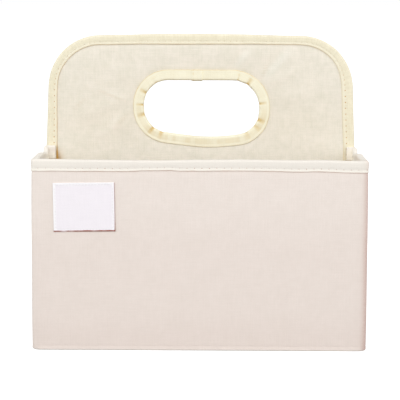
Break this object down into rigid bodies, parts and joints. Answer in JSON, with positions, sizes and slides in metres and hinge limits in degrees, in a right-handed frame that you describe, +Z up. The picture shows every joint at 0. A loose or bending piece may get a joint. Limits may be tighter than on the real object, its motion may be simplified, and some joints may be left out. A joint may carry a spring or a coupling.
{
  "type": "diaper caddy",
  "caption": "Open fabric carry caddy with stiff bound walls, two compartments, lift-out floors and an upright handle panel with a rounded bound hand opening.",
  "frame": {"origin": "middle of the base, on the surface that the caddy stands on", "axes": "+X to the right along the front wall, +Y from the front wall to the back wall, +Z up"},
  "size_m": [0.3182, 0.2382, 0.2976],
  "materials": {
    "outer_cloth": "smooth woven cloth, warm off-white",
    "panel_cloth": "smooth woven cloth, cream",
    "lining_cloth": "plain lining cloth, warm cream",
    "rim_tape": "folded and stitched tape, off-white",
    "binding_tape": "folded and stitched tape, pale cream",
    "label_cloth": "smooth woven label, bare, cool white",
    "board": "stiff grey-brown board, hidden inside the cloth"
  },
  "bodies": {
    "root": {"base_cover": "outer_cloth", "handle_board": "board", "handle_front_cover": "panel_cloth", "handle_back_cover": "panel_cloth", "handle_edge_binding": "binding_tape", "hand_hole_binding": "binding_tape", "front_wall_cover": "outer_cloth", "front_wall_lining": "lining_cloth", "front_rim_tape": "rim_tape", "front_wall_board": "board", "front_left_side_board": "board", "front_right_side_board": "board", "back_wall_cover": "outer_cloth", "back_wall_lining": "lining_cloth", "back_rim_tape": "rim_tape", "back_wall_board": "board", "back_left_side_board": "board", "back_right_side_board": "board", "label_patch": "label_cloth"},
    "front_insert": {"front_base_board": "board", "front_base_board_cover": "lining_cloth"},
    "back_insert": {"back_base_board": "board", "back_base_board_cover": "lining_cloth"}
  },
  "joints": [
    {"name": "front_insert_lift", "type": "slide", "parent": "root", "child": "front_insert", "axis": [0, 0, 1], "range_m": [0, 0.3]},
    {"name": "back_insert_lift", "type": "slide", "parent": "root", "child": "back_insert", "axis": [0, 0, 1], "range_m": [0, 0.3]}
  ]
}
